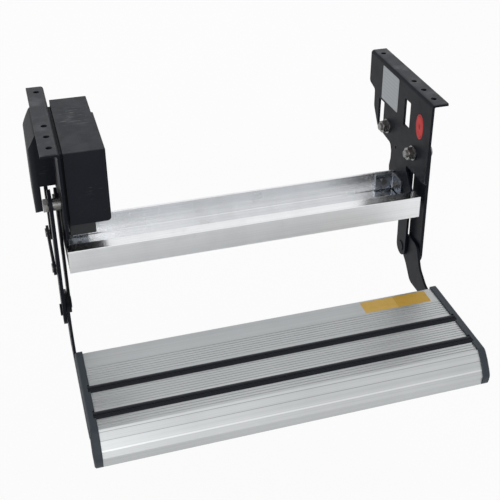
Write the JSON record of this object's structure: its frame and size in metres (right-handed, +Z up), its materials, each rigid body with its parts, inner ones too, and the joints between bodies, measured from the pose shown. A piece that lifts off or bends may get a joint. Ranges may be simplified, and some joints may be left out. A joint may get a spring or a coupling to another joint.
{
  "type": "caravan entry step",
  "caption": "Electric fold-away entry step for a caravan: flanged brackets and a cross channel carry a grooved aluminium tread on parallel arms, swung by a covered motor.",
  "frame": {"origin": "centre of the rectangle of outer bolt holes, on the top plane of the two bolting flanges", "axes": "+X along the tread to the right as seen by someone about to step up, +Y rearwards under the vehicle, +Z up; the tread is lowered at rest"},
  "size_m": [0.6068, 0.4632, 0.3495],
  "materials": {
    "black_steel": "satin",
    "zinc_steel": "satin",
    "mill_aluminium": "brushed",
    "anodised_aluminium": "matte",
    "grip_rubber": "matte",
    "cap_plastic": "matte",
    "cover_plastic": "matte",
    "motor_steel": "satin",
    "cast_housing": "satin"
  },
  "bodies": {
    "frame": {"bracket_left": "black_steel", "bracket_right": "black_steel", "cross_channel": "mill_aluminium", "cleats": "zinc_steel", "cleat_bolts": "zinc_steel", "pivot_bolts": "zinc_steel", "pivot_washers": "zinc_steel", "pivot_nuts": "zinc_steel", "pivot_sleeves": "zinc_steel", "rear_studs": "zinc_steel", "motor_cover": "cover_plastic", "cable_gland": "cover_plastic", "motor_plate": "black_steel", "motor": "motor_steel", "gearbox_housing": "cast_housing", "crank_guard": "cover_plastic", "guard_screws": "zinc_steel"},
    "front_arms": {"front_arm_left": "black_steel", "front_arm_right": "black_steel", "lug_stud": "zinc_steel"},
    "rear_arms": {"rear_arm_left": "black_steel", "rear_arm_right": "black_steel"},
    "tread": {"tread_board": "anodised_aluminium", "grip_strip_rear": "grip_rubber", "grip_strip_front": "grip_rubber", "end_cap_left": "cap_plastic", "end_cap_right": "cap_plastic", "tread_plate_left": "black_steel", "tread_plate_right": "black_steel", "front_pins": "black_steel", "rear_pins": "black_steel", "tread_screws": "zinc_steel"},
    "crank_lever": {"drive_shaft": "zinc_steel", "crank": "black_steel", "crank_stud": "zinc_steel"},
    "rod": {"drive_rod": "black_steel"}
  },
  "joints": [
    {"name": "front_arm_swing", "type": "hinge", "parent": "frame", "child": "front_arms", "pos_m": [0, -0.0675, -0.103], "axis": [1, 0, 0], "range_deg": [0, 61]},
    {"name": "rear_arm_swing", "type": "hinge", "parent": "frame", "child": "rear_arms", "pos_m": [0, -0.0375, -0.113], "axis": [1, 0, 0], "range_deg": [0, 61]},
    {"name": "tread_level", "type": "hinge", "parent": "front_arms", "child": "tread", "pos_m": [0, -0.0695, -0.284], "axis": [1, 0, 0], "range_deg": [-61, 0]},
    {"name": "crank_swing", "type": "hinge", "parent": "frame", "child": "crank_lever", "pos_m": [0, 0.0335, -0.103], "axis": [1, 0, 0], "range_deg": [0, 61]},
    {"name": "rod_level", "type": "hinge", "parent": "crank_lever", "child": "rod", "pos_m": [0, 0.03234, -0.20799], "axis": [1, 0, 0], "range_deg": [-61, 0]}
  ],
  "couplings": [
    {"joint": "rear_arm_swing", "follows": "front_arm_swing", "ratio": 1},
    {"joint": "tread_level", "follows": "front_arm_swing", "ratio": -1},
    {"joint": "crank_swing", "follows": "front_arm_swing", "ratio": 1},
    {"joint": "rod_level", "follows": "front_arm_swing", "ratio": -1}
  ]
}
